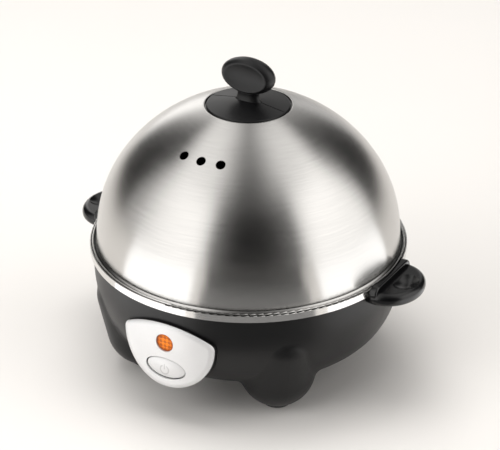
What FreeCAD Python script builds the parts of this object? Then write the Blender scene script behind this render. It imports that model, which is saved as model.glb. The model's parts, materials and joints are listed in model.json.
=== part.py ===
import FreeCAD, Part
import math
import os

# Electric egg cooker: a round base bowl on four lobed feet, a water pan heated from below, a tray
# with seats for seven eggs, and a stainless dome lid with a finger knob.  Millimetres.
# The origin is on the floor under the bowl's centre: +Z is up, the control panel faces -Y, and the
# two side grips are on -X and +X.

Vec = FreeCAD.Vector
UP = Vec(0, 0, 1)
ACROSS = Vec(1, 0, 0)
BACK = Vec(0, 1, 0)

# ---------------------------------------------------------------- driving dimensions
# Base bowl, a turned profile: straight wall, then two tangent arcs into a flat belly.
BODY_R = 84.6            # outer radius of the straight wall
BELLY_Z = 14.3           # height of the flat underside over the floor
BELLY_ARC_R = 30.2       # lower arc
FLANK_ARC_R = 59.4       # upper arc
FLANK_ARC_DEG = 25.7     # angle that the upper arc turns through
STRAIGHT_H = 9.2         # height of the straight wall
BOWL_WALL = 2.6

# Foot lobes: the hull of a low ball and a higher ball that leans out to the wall.
LOBE_ANGLES = (45, 135, 225, 315)
LOBE_LOW_R = 20.7
LOBE_LOW_INSET = 25.3    # from the wall radius in to the low ball's centre
LOBE_HIGH_R = 17.0
LOBE_HIGH_INSET = 16.7
LOBE_HIGH_DROP = 13.2    # from the start of the straight wall down to the high ball's centre
LOBE_WALL = 3.6
CREASE_ROUND = 6.0       # blend between a lobe and the bowl
PAD_R = 7.5
PAD_PROUD = 0.6          # how far a pad reaches below its lobe
PAD_SEAT = 2.4           # depth of the pad's recess, from the lobe's lowest point
PAD_ROUND = 0.8

# Rim stack on the bowl's top edge: trim band, seal, pan ledge.
BAND_OVERHANG = 2.0      # the band stands this far out of the bowl's wall
BAND_T = 0.8
BAND_H = 4.0
BAND_FOOT_T = 0.6
BAND_FOOT_W = 6.3        # the band's flat foot, measured in from its outside
SEAL_T = 0.6
SEAL_W = 4.6
PAN_T = 1.0
RIM_GAP = 0.3            # between the pan's upright rim and the band
RIM_H = 2.4              # upright rim over the ledge, to its rounded top
LEDGE_W = 8.5
PAN_DEPTH = 12.6
PAN_SLOPE_W = 10.0       # how far the well's wall leans in, from ledge to floor
PAN_ROUND = 4.0

# Lid: r = LID_R * (1 - (h / DOME_H) ** DOME_P) ** (1 / DOME_Q), with h over the seam.
LID_T = 0.8
LID_FIT = 0.8            # radial gap between the hem and the pan's rim
LID_SEAT_GAP = 0.3       # between the hem and the pan's ledge
HEM_FLARE = 0.9
HEM_H = 1.2
DOME_H = 83.0
DOME_P = 2.18
DOME_Q = 1.70
VENT_R = 2.6
VENT_H = 65.4
VENT_STEP_DEG = 13.0
VENT_COUNT = 3

# Knob: an oval grip on a flared neck over a round skirt, in a shallow seat in the lid's crown.
SKIRT_R = 22.4
SKIRT_EDGE_H = 1.3
SKIRT_RISE = 4.9
SKIRT_LINE_W = 0.5       # the mould's parting line, a shallow groove across the skirt
SKIRT_LINE_DEPTH = 0.3
SKIRT_FIT = 0.8          # from the skirt's edge to the seat's edge
CROWN_STEP = 1.0         # depth of the seat
NECK_R = 3.4
NECK_FLARE_R = 4.1
NECK_TOP_H = 12.0
NECK_WAIST_SHARE = 0.55
NECK_STRETCH = 1.9       # width over depth
GRIP_H = 17.6            # height of the grip's centre over the seat
GRIP_R = 9.8
GRIP_STRETCH = 1.6
GRIP_HALF_T = 4.8
GRIP_DISH = 1.5
GRIP_CREST_R = 8.0
GRIP_CREST_ROUND = 0.8
KNOB_SCREW_R = 2.0
KNOB_SCREW_BITE = 9.0
KNOB_HEAD_R = 3.8
KNOB_HEAD_H = 2.4
KNOB_SLOT_W = 1.0
KNOB_WASHER_R = 7.0
KNOB_WASHER_T = 1.0
KNOB_SEAL_R = 12.0
KNOB_SEAL_T = 0.8

# Egg tray: one seat in the middle and a ring of seats around it.
TRAY_T = 1.8
TRAY_FIT = 1.2           # radial gap between the tray and the lid's hem
TRAY_SEAT_GAP = 0.3
TRAY_WELL_FIT = 1.0
TRAY_SKIRT_T = 1.5
TRAY_SKIRT_H = 5.0
TRAY_BAND_W = 15.5       # plain band outside the outer seats
SEAT_WEB = 11.0
SEAT_COUNT = 6
COLLAR_T = 1.4
COLLAR_H = 3.0
TAB_W = 22.0
TAB_T = 2.4
TAB_H = 20.0
TAB_INSET = 8.0
TAB_ROUND = 8.4

# Control panel and its boss on the front of the bowl.
PANEL_HALF_W = 27.2      # also the radius of its round lower half
PANEL_CROWN_R = 48.0     # of its crowned top edge
PANEL_LOW_Z = 20.7       # the panel's lowest point
PANEL_PROUD = 2.8        # the panel's face over the bowl's wall
PANEL_T = 2.0
PANEL_FIT = 0.15
PANEL_ROUND = 1.5
BOSS_OPENING = 1.5       # from the panel's side in to the opening behind it
BOSS_ROOT = 45.0         # the boss and its opening start this far in front of the bowl's axis
LENS_R = 5.2
LENS_OVER_BUTTON = 15.3
LENS_EDGE = 11.1         # from the lens's centre up to the panel's top
LENS_RECESS = 0.8
LENS_FLANGE_W = 1.2
LENS_FLANGE_T = 1.0
LENS_LEN = 5.0
LENS_FACE_T = 1.2
BUTTON_HALF_W = 11.65
BUTTON_HALF_H = 5.8
BUTTON_EDGE = 11.65     # from the panel's lowest point up to the button's centre
BUTTON_GAP = 0.5
BUTTON_RECESS = 0.5
BUTTON_ROUND = 0.8
BUTTON_FLANGE_W = 1.3
BUTTON_FLANGE_T = 1.5
BUTTON_FLANGE_GAP = 0.4
BUTTON_TRAVEL = 1.6
PLUNGER_R = 2.2
PLUNGER_FIT = 0.3
PLUNGER_REACH = 2.4      # how far the plunger stands in the switch at rest
BRACKET_SET = 5.2        # from the panel's back, at its middle, to the bracket
BRACKET_T = 1.6
BRACKET_SCREW_BITE = 2.4
BRACKET_INSET = 3.5
BRACKET_HOLE_FIT = 2.0
SWITCH_W = 14.0
SWITCH_H = 12.0
SWITCH_LEN = 15.0
BLADE_W = 4.8
BLADE_T = 0.8
BLADE_LEN = 7.0
PANEL_POST_R = 3.0
PANEL_POST_EDGE = 9.7    # from the panel's side in to the post's axis
PANEL_POST_RISE = 10.9   # over the button's centre
LAMP_R = 2.6
LAMP_LEN = 11.0
LAMP_GAP = 0.3           # between the lamp's tip and the lens's face

# Side grips.
GRIP_PAD_HALF_W = 20.5
GRIP_ROOT = 10.0         # the pad is drawn from this far inside the wall, then trimmed to it
GRIP_PAD_T = 1.8         # outside the trim band, at the middle
GRIP_PAD_SHOULDER = 4.5  # rounding of its two upper corners
GRIP_PAD_ROUND = 1.0
GRIP_PAD_LOW = 2.0       # below the bowl's top edge
GRIP_PAD_HIGH = 4.9      # above it
EAR_REACH = 18.3         # tip, outside the trim band
EAR_HALF_W = 20.8
EAR_LOW = 5.4
EAR_HIGH = 1.8
EAR_ROUND = 3.3
THUMB_INSET = 9.0
THUMB_HALF_LEN = 7.0
THUMB_HALF_W = 8.5
THUMB_DEPTH = 2.8
THUMB_WALL = 4.2         # from the trim band out to the hollow's flat side
GRIP_SCREW_Y = 12.0
GRIP_SCREW_DROP = 3.4
GRIP_SCREW_R = 1.5
GRIP_SCREW_BITE = 8.0
GRIP_SCREW_HEAD_R = 2.9
GRIP_SCREW_HEAD_H = 1.8

# Heater under the pan.
ELEMENT_R = 30.0
ELEMENT_TUBE_R = 3.2
ELEMENT_OPEN_DEG = 50.0
ELEMENT_LEG_LEN = 15.0
CLAMP_T = 1.5
CLAMP_MARGIN = 3.0
CLAMP_BORE_R = 12.0
CLAMP_NOTCH_W = 9.0
STUD_X = 20.0
STUD_R = 2.0
STUD_TAIL = 1.2
NUT_H = 3.0
NUT_FLAT_R = 3.4
STRAP_W = 9.0
STRAP_T = 1.0
STRAP_END = 6.0
STRAP_ROUND = 4.0
THERMOSTAT_CAP_R = 8.0
THERMOSTAT_BODY_R = 5.5
THERMOSTAT_BODY_H = 7.0
FUSE_R = 2.2
FUSE_LEN = 14.0
FUSE_Y = -26.0
FUSE_LEAD_R = 0.5
FUSE_LEAD_LEN = 5.0
FUSE_CLIP_T = 0.8
FUSE_CLIP_W = 6.0

# Fixing of the pan to the bowl: four posts with long screws from below.
POST_ANGLES = (0, 90, 180, 270)
POST_PITCH_R = 48.0
POST_R = 5.5
PAN_BOSS_R = 4.0
PAN_BOSS_H = 6.0
PAN_SCREW_R = 1.7
PAN_SCREW_BITE = 5.0
PAN_HEAD_R = 3.2
PAN_HEAD_H = 2.2
PAN_HEAD_DEPTH = 8.0     # from the belly up to the head's seat
HEAD_FIT = 0.4
SHANK_FIT = 0.1
RECESS_SHARE = 0.8       # a drive recess's radius over its shank's

# Service cover in the belly.
HATCH_R = 31.0
COVER_MARGIN = 3.0       # from the screw circle to the cover's edge
COVER_T = 2.0
COVER_ROUND = 0.8
COVER_SCREW_ANGLES = (30, 150, 270)
COVER_SCREW_PITCH_R = 36.0
COVER_BOSS_R = 3.6
COVER_BOSS_H = 7.0
COVER_SCREW_R = 1.3
COVER_SCREW_BITE = 6.0
COVER_HEAD_R = 2.6
COVER_HEAD_H = 1.4

# Mains side at the back: inlet boss with its bushing, and the terminal block.
INLET_Z = 38.0
INLET_BOSS_R = 10.0
INLET_BOSS_PROUD = 0.9
INLET_ROOT = 60.0
INLET_BORE_R = 5.2
BUSHING_BORE_R = 3.4
BUSHING_FLANGE_R = 8.0
BUSHING_FLANGE_T = 1.0
BUSHING_LEN = 10.0
BLOCK_Y = 61.0
BLOCK_W = 28.0
BLOCK_D = 9.0
BLOCK_H = 11.0
BLOCK_POLES = 3
BLOCK_WIRE_R = 1.8
BLOCK_WIRE_H = 3.9
BLOCK_SCREW_R = 1.6
BLOCK_PEDESTAL_W = 6.0
BLOCK_PEDESTAL_X = 8.4
BLOCK_PEDESTAL_H = 7.5

# Cutting tools run past the faces that they cut.
CUT_OVER = 1.0
CUT_REACH = 20.0
NEAR = 0.01              # two places this close count as one

# ---------------------------------------------------------------- levels and radii that follow
FLANK_SIN = math.sin(math.radians(FLANK_ARC_DEG))
FLANK_COS = math.cos(math.radians(FLANK_ARC_DEG))
BOWL_SHOULDER_Z = BELLY_Z + BELLY_ARC_R + (FLANK_ARC_R - BELLY_ARC_R) * FLANK_SIN
BOWL_TOP_Z = BOWL_SHOULDER_Z + STRAIGHT_H
BELLY_ARC_X = BODY_R - FLANK_ARC_R + (FLANK_ARC_R - BELLY_ARC_R) * FLANK_COS
BELLY_ARC_Z = BELLY_Z + BELLY_ARC_R

BAND_R = BODY_R + BAND_OVERHANG
BAND_TOP_Z = BOWL_TOP_Z + BAND_H
SEAL_Z = BOWL_TOP_Z + BAND_FOOT_T
RIM_OUT_R = BAND_R - BAND_T - RIM_GAP
RIM_IN_R = RIM_OUT_R - PAN_T
LEDGE_Z = SEAL_Z + SEAL_T + PAN_T
SEAM_Z = LEDGE_Z + RIM_H
WELL_TOP_R = RIM_IN_R - LEDGE_W
WELL_FLOOR_R = WELL_TOP_R - PAN_SLOPE_W
PAN_FLOOR_Z = LEDGE_Z - PAN_DEPTH
PAN_UNDER_Z = PAN_FLOOR_Z - PAN_T

HEM_R = RIM_IN_R - LID_FIT
HEM_Z = LEDGE_Z + LID_SEAT_GAP
LID_R = HEM_R - HEM_FLARE
SEAT_EDGE_R = SKIRT_R + SKIRT_FIT

TRAY_R = HEM_R - LID_T - TRAY_FIT
TRAY_Z = LEDGE_Z + TRAY_SEAT_GAP
SEAT_R = (TRAY_R - TRAY_BAND_W - SEAT_WEB) / 3
SEAT_PITCH_R = 2 * SEAT_R + SEAT_WEB

PANEL_FACE_R = BODY_R + PANEL_PROUD
PANEL_BACK_R = PANEL_FACE_R - PANEL_T
PANEL_Z = PANEL_LOW_Z + PANEL_HALF_W
BUTTON_Z = PANEL_LOW_Z + BUTTON_EDGE
LENS_Z = BUTTON_Z + LENS_OVER_BUTTON
PANEL_RISE = LENS_Z + LENS_EDGE - PANEL_Z
BRACKET_Y = -PANEL_BACK_R + BRACKET_SET + BRACKET_T
BUTTON_FLANGE_Y = BUTTON_FLANGE_GAP - math.sqrt(PANEL_BACK_R ** 2 - (BUTTON_HALF_W + BUTTON_FLANGE_W) ** 2)

CLAMP_TOP_Z = PAN_UNDER_Z - 2 * ELEMENT_TUBE_R
STRAP_TOP_Z = CLAMP_TOP_Z - CLAMP_T
NUT_TOP_Z = STRAP_TOP_Z - STRAP_T
FLOOR_IN_Z = BELLY_Z + BOWL_WALL
COVER_R = COVER_SCREW_PITCH_R + COVER_MARGIN
FAR_R = PANEL_FACE_R + CUT_REACH


# ---------------------------------------------------------------- shape helpers
def polar(radius, degrees, z=0.0):
    angle = math.radians(degrees)
    return Vec(radius * math.cos(angle), radius * math.sin(angle), z)


def wire_rz(start, *steps):
    """Closed wire in the XZ plane.  A step is a point (line) or a pair of points (arc through)."""
    edges = []
    here = Vec(start[0], 0, start[1])
    for step in steps:
        if isinstance(step, Part.Edge):
            edges.append(step)
            here = step.lastVertex(True).Point
        elif isinstance(step[0], tuple):
            middle, end = (Vec(p[0], 0, p[1]) for p in step)
            edges.append(Part.Arc(here, middle, end).toShape())
            here = end
        else:
            end = Vec(step[0], 0, step[1])
            edges.append(Part.LineSegment(here, end).toShape())
            here = end
    edges.append(Part.LineSegment(here, Vec(start[0], 0, start[1])).toShape())
    return Part.Wire(edges)


def turned(start, *steps):
    """Solid turned about the Z axis from a closed outline given as (radius, height)."""
    return Part.Face(wire_rz(start, *steps)).revolve(Vec(0, 0, 0), UP, 360)


def post(radius, low, high, at=Vec(0, 0, 0)):
    return Part.makeCylinder(radius, high - low, Vec(at.x, at.y, low), UP)


def rod(radius, start, direction, length):
    return Part.makeCylinder(radius, length, start, direction)


def block(x, y, z):
    return Part.makeBox(x[1] - x[0], y[1] - y[0], z[1] - z[0], Vec(x[0], y[0], z[0]))


def on_arc(centre, radius, degrees):
    angle = math.radians(degrees)
    return (centre[0] + radius * math.cos(angle), centre[1] + radius * math.sin(angle))


def stretched(shape, factor, direction):
    """The shape scaled along one axis only."""
    matrix = FreeCAD.Matrix()
    matrix.scale(*(factor if axis else 1.0 for axis in (direction.x, direction.y, direction.z)))
    return shape.transformGeometry(matrix)


def fused(shapes):
    shapes = list(shapes)
    return shapes[0].multiFuse(shapes[1:]) if len(shapes) > 1 else shapes[0]


def rounded(shape, radius, wanted):
    """Round the edges that the test picks, given each edge's bounding box."""
    edges = [edge for edge in shape.Edges if wanted(edge.BoundBox)]
    return shape.makeFillet(radius, edges)


def at_height(box, z):
    """True for a level edge at the given height."""
    return box.ZLength < NEAR and abs(box.ZMin - z) < NEAR


def hexagon(flat_radius, low, high, at):
    corner = flat_radius / math.cos(math.radians(30))
    points = [at + polar(corner, 60 * i, low) for i in range(7)]
    return Part.Face(Part.makePolygon(points)).extrude(Vec(0, 0, high - low))


def save(name, shape):
    if shape.ShapeType == "Compound" and len(shape.Solids) == 1:
        shape = shape.Solids[0]
    print(f"{name:22s} solids {len(shape.Solids)} valid {shape.isValid()} volume {shape.Volume:10.1f}")
    shape.exportStep(f"parts/{name}.step")


# ---------------------------------------------------------------- base bowl
def bowl_solid(inset, top):
    """The bowl's outer form, or its hollow when inset is the wall, closed flat at the top."""
    flank = FLANK_ARC_R - inset
    belly = BELLY_ARC_R - inset
    shoulder = (BODY_R - inset, BOWL_SHOULDER_Z)
    flank_centre = (BODY_R - FLANK_ARC_R, BOWL_SHOULDER_Z)
    belly_centre = (BELLY_ARC_X, BELLY_ARC_Z)
    turn = -FLANK_ARC_DEG
    return turned(
        (0, top),
        (BODY_R - inset, top),
        shoulder,
        (on_arc(flank_centre, flank, turn / 2), on_arc(flank_centre, flank, turn)),
        (on_arc(belly_centre, belly, (turn - 90) / 2), on_arc(belly_centre, belly, -90)),
        (0, BELLY_Z + inset),
    )


def lobe_solid(inset, degrees):
    """One foot lobe: the convex hull of two balls, turned about the line between their centres."""
    low_r = LOBE_LOW_R - inset
    high_r = LOBE_HIGH_R - inset
    low = Vec(BODY_R - LOBE_LOW_INSET, 0, PAD_PROUD + LOBE_LOW_R)
    high = Vec(BODY_R - LOBE_HIGH_INSET, 0, BOWL_SHOULDER_Z - LOBE_HIGH_DROP)
    span = (high - low).Length
    lean = math.degrees(math.asin((low_r - high_r) / span))
    hull = turned(
        (0, -low_r),
        (on_arc((0, 0), low_r, (lean - 90) / 2), on_arc((0, 0), low_r, lean)),
        on_arc((0, span), high_r, lean),
        (on_arc((0, span), high_r, (lean + 90) / 2), (0, span + high_r)),
    )
    hull.Placement = FreeCAD.Placement(low, FreeCAD.Rotation(UP, high - low))
    hull.rotate(Vec(0, 0, 0), UP, degrees)
    return hull


def lobe_foot(degrees):
    return polar(BODY_R - LOBE_LOW_INSET, degrees)


def panel_outline(offset, y):
    """Closed outline in a plane of constant Y: round lower half, small corners, crowned top."""
    half_w = PANEL_HALF_W + offset
    crown_r = PANEL_CROWN_R + offset
    sink = PANEL_CROWN_R - PANEL_RISE
    corner_r = (crown_r ** 2 - half_w ** 2 - sink ** 2) / (2 * (crown_r - half_w))
    corner_x = half_w - corner_r
    crown_centre = (0, PANEL_Z - sink)
    meet = math.degrees(math.atan2(sink, corner_x))

    def at(centre, radius, degrees):
        x, z = on_arc(centre, radius, degrees)
        return Vec(x, y, z)

    low, right, left = (0, PANEL_Z), (corner_x, PANEL_Z), (-corner_x, PANEL_Z)
    arcs = (
        (low, half_w, 180, 360),
        (right, corner_r, 0, meet),
        (crown_centre, crown_r, meet, 180 - meet),
        (left, corner_r, 180 - meet, 180),
    )
    edges = [
        Part.Arc(at(c, r, a), at(c, r, (a + b) / 2), at(c, r, b)).toShape() for c, r, a, b in arcs
    ]
    return Part.Wire(edges)


def panel_prism(offset, reach):
    """Prism of the panel's outline from the boss's root out to the given radius."""
    face = Part.Face(panel_outline(offset, -reach))
    return face.extrude(Vec(0, reach - BOSS_ROOT, 0))


def pan_screw_spots():
    return [polar(POST_PITCH_R, degrees) for degrees in POST_ANGLES]


def cover_screw_spots():
    return [polar(COVER_SCREW_PITCH_R, degrees) for degrees in COVER_SCREW_ANGLES]


def grip_screw_spots():
    return [(side, y) for side in (-1, 1) for y in (-GRIP_SCREW_Y, GRIP_SCREW_Y)]


def creases(shape):
    """The edges where lobes meet the bowl.  Only they are neither straight nor round."""
    edges = [edge for edge in shape.Edges if not edge.Degenerated]
    return [edge for edge in edges if isinstance(edge.Curve, Part.BSplineCurve)]


def bowl_on_lobes():
    outside = fused([bowl_solid(0, BOWL_TOP_Z)] + [lobe_solid(0, degrees) for degrees in LOBE_ANGLES])
    return outside.makeFillet(CREASE_ROUND, creases(outside))


def base_housing():
    boss = panel_prism(0, FAR_R).common(post(PANEL_BACK_R, 0, BOWL_TOP_Z))
    inlet_reach = BODY_R + INLET_BOSS_PROUD - INLET_ROOT
    inlet = rod(INLET_BOSS_R, Vec(0, INLET_ROOT, INLET_Z), BACK, inlet_reach)
    outside = fused([bowl_on_lobes(), boss, inlet])
    lobe_hollows = [lobe_solid(LOBE_WALL, degrees) for degrees in LOBE_ANGLES]
    hollow = fused([bowl_solid(BOWL_WALL, BOWL_TOP_Z + CUT_OVER)] + lobe_hollows)
    shell = outside.cut(hollow)

    pan_posts = [post(POST_R, BELLY_Z, PAN_UNDER_Z - PAN_BOSS_H, at) for at in pan_screw_spots()]
    cover_posts = [post(COVER_BOSS_R, BELLY_Z, FLOOR_IN_Z + COVER_BOSS_H, at) for at in cover_screw_spots()]
    half = BLOCK_PEDESTAL_W / 2
    depth = (BLOCK_Y - BLOCK_D / 2, BLOCK_Y + BLOCK_D / 2)
    height = (BELLY_Z, FLOOR_IN_Z + BLOCK_PEDESTAL_H)
    pedestals = [block((x - half, x + half), depth, height) for x in (-BLOCK_PEDESTAL_X, BLOCK_PEDESTAL_X)]
    inside = fused(pan_posts + cover_posts + pedestals).common(bowl_solid(BOWL_WALL / 2, BOWL_TOP_Z))
    shell = shell.fuse(inside)

    cuts = [
        panel_prism(-BOSS_OPENING, FAR_R),
        rod(INLET_BORE_R, Vec(0, INLET_ROOT, INLET_Z), BACK, FAR_R),
        post(HATCH_R, 0, FLOOR_IN_Z + CUT_OVER),
        post(COVER_R + HEAD_FIT, 0, BELLY_Z),
    ]
    for at in pan_screw_spots():
        cuts.append(post(PAN_SCREW_R + SHANK_FIT, 0, BOWL_TOP_Z, at))
        cuts.append(post(PAN_HEAD_R + HEAD_FIT, 0, BELLY_Z + PAN_HEAD_DEPTH, at))
    for at in cover_screw_spots():
        cuts.append(post(COVER_SCREW_R, 0, BELLY_Z + COVER_SCREW_BITE, at))
    for degrees in LOBE_ANGLES:
        cuts.append(post(PAD_R, 0, PAD_PROUD + PAD_SEAT, lobe_foot(degrees)))
    screw_z = BOWL_TOP_Z - GRIP_SCREW_DROP
    for side, y in grip_screw_spots():
        cuts.append(rod(GRIP_SCREW_R + SHANK_FIT, Vec(side * BODY_R / 2, y, screw_z), ACROSS * side, BODY_R))
    return shell.cut(fused(cuts))


def foot_pad(degrees):
    at = lobe_foot(degrees)
    pad = post(PAD_R, 0, PAD_PROUD + PAD_SEAT, at)
    return rounded(pad, PAD_ROUND, lambda box: box.ZMax < NEAR)


def bottom_cover():
    cover = post(COVER_R, BELLY_Z - COVER_T, BELLY_Z)
    cover = rounded(cover, COVER_ROUND, lambda box: box.ZMax < BELLY_Z - COVER_T + NEAR)
    plug = post(HATCH_R - HEAD_FIT, BELLY_Z, BELLY_Z + COVER_T).cut(
        post(HATCH_R - HEAD_FIT - COVER_T, BELLY_Z, BELLY_Z + COVER_T)
    )
    notches = [post(COVER_BOSS_R + HEAD_FIT, BELLY_Z, BELLY_Z + COVER_T, at) for at in cover_screw_spots()]
    holes = [post(COVER_SCREW_R + SHANK_FIT, 0, BELLY_Z, at) for at in cover_screw_spots()]
    return cover.fuse(plug.cut(fused(notches))).cut(fused(holes))


def cover_screws():
    head_top = BELLY_Z - COVER_T
    screws = []
    for at in cover_screw_spots():
        head = post(COVER_HEAD_R, head_top - COVER_HEAD_H, head_top, at)
        slot = post(COVER_SCREW_R * RECESS_SHARE, 0, head_top - COVER_HEAD_H / 2, at)
        shank = post(COVER_SCREW_R, head_top, BELLY_Z + COVER_SCREW_BITE, at)
        screws.append(head.fuse(shank).cut(slot))
    return Part.makeCompound(screws)


# ---------------------------------------------------------------- rim stack and pan
def trim_band():
    in_r = BAND_R - BAND_T
    crown = ((BAND_R - BAND_T / 2, BAND_TOP_Z), (in_r, BAND_TOP_Z - BAND_T / 2))
    return turned(
        (BAND_R - BAND_FOOT_W, BOWL_TOP_Z),
        (BAND_R, BOWL_TOP_Z),
        (BAND_R, BAND_TOP_Z - BAND_T / 2),
        crown,
        (in_r, SEAL_Z),
        (BAND_R - BAND_FOOT_W, SEAL_Z),
    )


def pan_seal():
    return post(RIM_OUT_R, SEAL_Z, SEAL_Z + SEAL_T).cut(post(RIM_OUT_R - SEAL_W, SEAL_Z, SEAL_Z + SEAL_T))


def water_pan():
    rise = LEDGE_Z - PAN_FLOOR_Z
    shift = PAN_T * math.hypot(rise, PAN_SLOPE_W) / rise
    under_z = LEDGE_Z - PAN_T
    lean = PAN_SLOPE_W / rise
    pan = turned(
        (0, PAN_UNDER_Z),
        (WELL_FLOOR_R + shift - PAN_T * lean, PAN_UNDER_Z),
        (WELL_TOP_R + shift - PAN_T * lean, under_z),
        (RIM_OUT_R, under_z),
        (RIM_OUT_R, SEAM_Z - PAN_T / 2),
        ((RIM_OUT_R - PAN_T / 2, SEAM_Z), (RIM_IN_R, SEAM_Z - PAN_T / 2)),
        (RIM_IN_R, LEDGE_Z),
        (WELL_TOP_R, LEDGE_Z),
        (WELL_FLOOR_R, PAN_FLOOR_Z),
        (0, PAN_FLOOR_Z),
    )
    corner_zs = (PAN_UNDER_Z, PAN_FLOOR_Z)
    pan = rounded(pan, PAN_ROUND, lambda box: any(at_height(box, z) for z in corner_zs))
    boss_low = PAN_UNDER_Z - PAN_BOSS_H
    bosses = [post(PAN_BOSS_R, boss_low, PAN_UNDER_Z + PAN_T / 2, at) for at in pan_screw_spots()]
    stud_low = NUT_TOP_Z - NUT_H - STUD_TAIL
    studs = [post(STUD_R, stud_low, PAN_UNDER_Z + PAN_T / 2, Vec(x, 0, 0)) for x in (-STUD_X, STUD_X)]
    bores = [post(PAN_SCREW_R, boss_low, boss_low + PAN_SCREW_BITE, at) for at in pan_screw_spots()]
    return pan.fuse(fused(bosses + studs)).cut(fused(bores))


def pan_screws():
    seat = BELLY_Z + PAN_HEAD_DEPTH
    tip = PAN_UNDER_Z - PAN_BOSS_H + PAN_SCREW_BITE
    screws = []
    for at in pan_screw_spots():
        head = post(PAN_HEAD_R, seat - PAN_HEAD_H, seat, at)
        slot = post(PAN_SCREW_R * RECESS_SHARE, seat - PAN_HEAD_H, seat - PAN_HEAD_H / 2, at)
        screws.append(head.fuse(post(PAN_SCREW_R, seat, tip, at)).cut(slot))
    return Part.makeCompound(screws)


# ---------------------------------------------------------------- heater
def heating_element():
    """A round tube in an open ring under the pan, with both ends turned down."""
    z = PAN_UNDER_Z - ELEMENT_TUBE_R
    half = ELEMENT_OPEN_DEG / 2
    start = polar(ELEMENT_R, 90 + half, z)
    section = Part.Wire(Part.Circle(start, polar(1, 180 + half), ELEMENT_TUBE_R).toShape())
    ring = Part.Face(section).revolve(Vec(0, 0, 0), UP, 360 - ELEMENT_OPEN_DEG)
    pieces = [ring]
    for degrees in (90 + half, 90 - half):
        end = polar(ELEMENT_R, degrees, z)
        pieces.append(Part.makeSphere(ELEMENT_TUBE_R, end))
        pieces.append(rod(ELEMENT_TUBE_R, end, -UP, ELEMENT_LEG_LEN))
        blade = block((-BLADE_W / 2, BLADE_W / 2), (-BLADE_T / 2, BLADE_T / 2), (-BLADE_LEN, 0))
        blade.translate(end - UP * ELEMENT_LEG_LEN)
        pieces.append(blade)
    return fused(pieces)


def clamp_plate():
    outer_r = ELEMENT_R + ELEMENT_TUBE_R + CLAMP_MARGIN
    plate = post(outer_r, STRAP_TOP_Z, CLAMP_TOP_Z)
    notch_w = 2 * (ELEMENT_R + ELEMENT_TUBE_R) * math.sin(math.radians(ELEMENT_OPEN_DEG / 2)) + CLAMP_NOTCH_W
    notch = block(
        (-notch_w / 2, notch_w / 2), (ELEMENT_R - CLAMP_NOTCH_W, outer_r), (STRAP_TOP_Z, CLAMP_TOP_Z)
    )
    holes = [post(STUD_R + SHANK_FIT, STRAP_TOP_Z, CLAMP_TOP_Z, Vec(x, 0, 0)) for x in (-STUD_X, STUD_X)]
    return plate.cut(fused([post(CLAMP_BORE_R, STRAP_TOP_Z, CLAMP_TOP_Z), notch] + holes))


def thermostat_strap():
    half = STUD_X + STRAP_END
    strap = block((-half, half), (-STRAP_W / 2, STRAP_W / 2), (NUT_TOP_Z, STRAP_TOP_Z))
    ring = post(THERMOSTAT_CAP_R, NUT_TOP_Z, STRAP_TOP_Z)
    holes = [post(STUD_R + SHANK_FIT, NUT_TOP_Z, STRAP_TOP_Z, Vec(x, 0, 0)) for x in (-STUD_X, STUD_X)]
    holes.append(post(THERMOSTAT_BODY_R, NUT_TOP_Z, STRAP_TOP_Z))
    strap = rounded(strap, STRAP_ROUND, lambda box: box.XLength < NEAR and box.YLength < NEAR)
    return strap.fuse(ring).cut(fused(holes))


def clamp_nuts():
    nuts = []
    for x in (-STUD_X, STUD_X):
        nut = hexagon(NUT_FLAT_R, NUT_TOP_Z - NUT_H, NUT_TOP_Z, Vec(x, 0, 0))
        nuts.append(nut.cut(post(STUD_R, NUT_TOP_Z - NUT_H, NUT_TOP_Z, Vec(x, 0, 0))))
    return Part.makeCompound(nuts)


def thermostat():
    cap = post(THERMOSTAT_CAP_R, STRAP_TOP_Z, PAN_UNDER_Z)
    body_low = STRAP_TOP_Z - THERMOSTAT_BODY_H
    tip = body_low - BLADE_LEN
    body = post(THERMOSTAT_BODY_R, body_low, STRAP_TOP_Z)
    blades = [
        block((x - BLADE_T / 2, x + BLADE_T / 2), (-BLADE_W / 2, BLADE_W / 2), (tip, body_low))
        for x in (-THERMOSTAT_BODY_R / 2, THERMOSTAT_BODY_R / 2)
    ]
    return fused([cap, body] + blades)


def thermal_fuse():
    z = STRAP_TOP_Z - FUSE_R
    half = FUSE_LEN / 2
    barrel = rod(FUSE_R, Vec(-half, FUSE_Y, z), ACROSS, FUSE_LEN)
    leads = rod(FUSE_LEAD_R, Vec(-half - FUSE_LEAD_LEN, FUSE_Y, z), ACROSS, FUSE_LEN + 2 * FUSE_LEAD_LEN)
    return barrel.fuse(leads)


def fuse_clip():
    """A saddle that holds the fuse up against the clamp plate."""
    z = STRAP_TOP_Z - FUSE_R
    half = FUSE_CLIP_W / 2
    reach = FUSE_R + FUSE_CLIP_T
    saddle = rod(reach, Vec(-half, FUSE_Y, z), ACROSS, FUSE_CLIP_W)
    ears = block(
        (-half, half), (FUSE_Y - 2 * reach, FUSE_Y + 2 * reach), (STRAP_TOP_Z - FUSE_CLIP_T, STRAP_TOP_Z)
    )
    above = block((-half, half), (FUSE_Y - reach, FUSE_Y + reach), (STRAP_TOP_Z, STRAP_TOP_Z + reach))
    inside = rod(FUSE_R, Vec(-half, FUSE_Y, z), ACROSS, FUSE_CLIP_W)
    slot = block((-half, half), (FUSE_Y - FUSE_R, FUSE_Y + FUSE_R), (z, STRAP_TOP_Z))
    return saddle.fuse(ears).cut(fused([above, inside, slot]))


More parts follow.
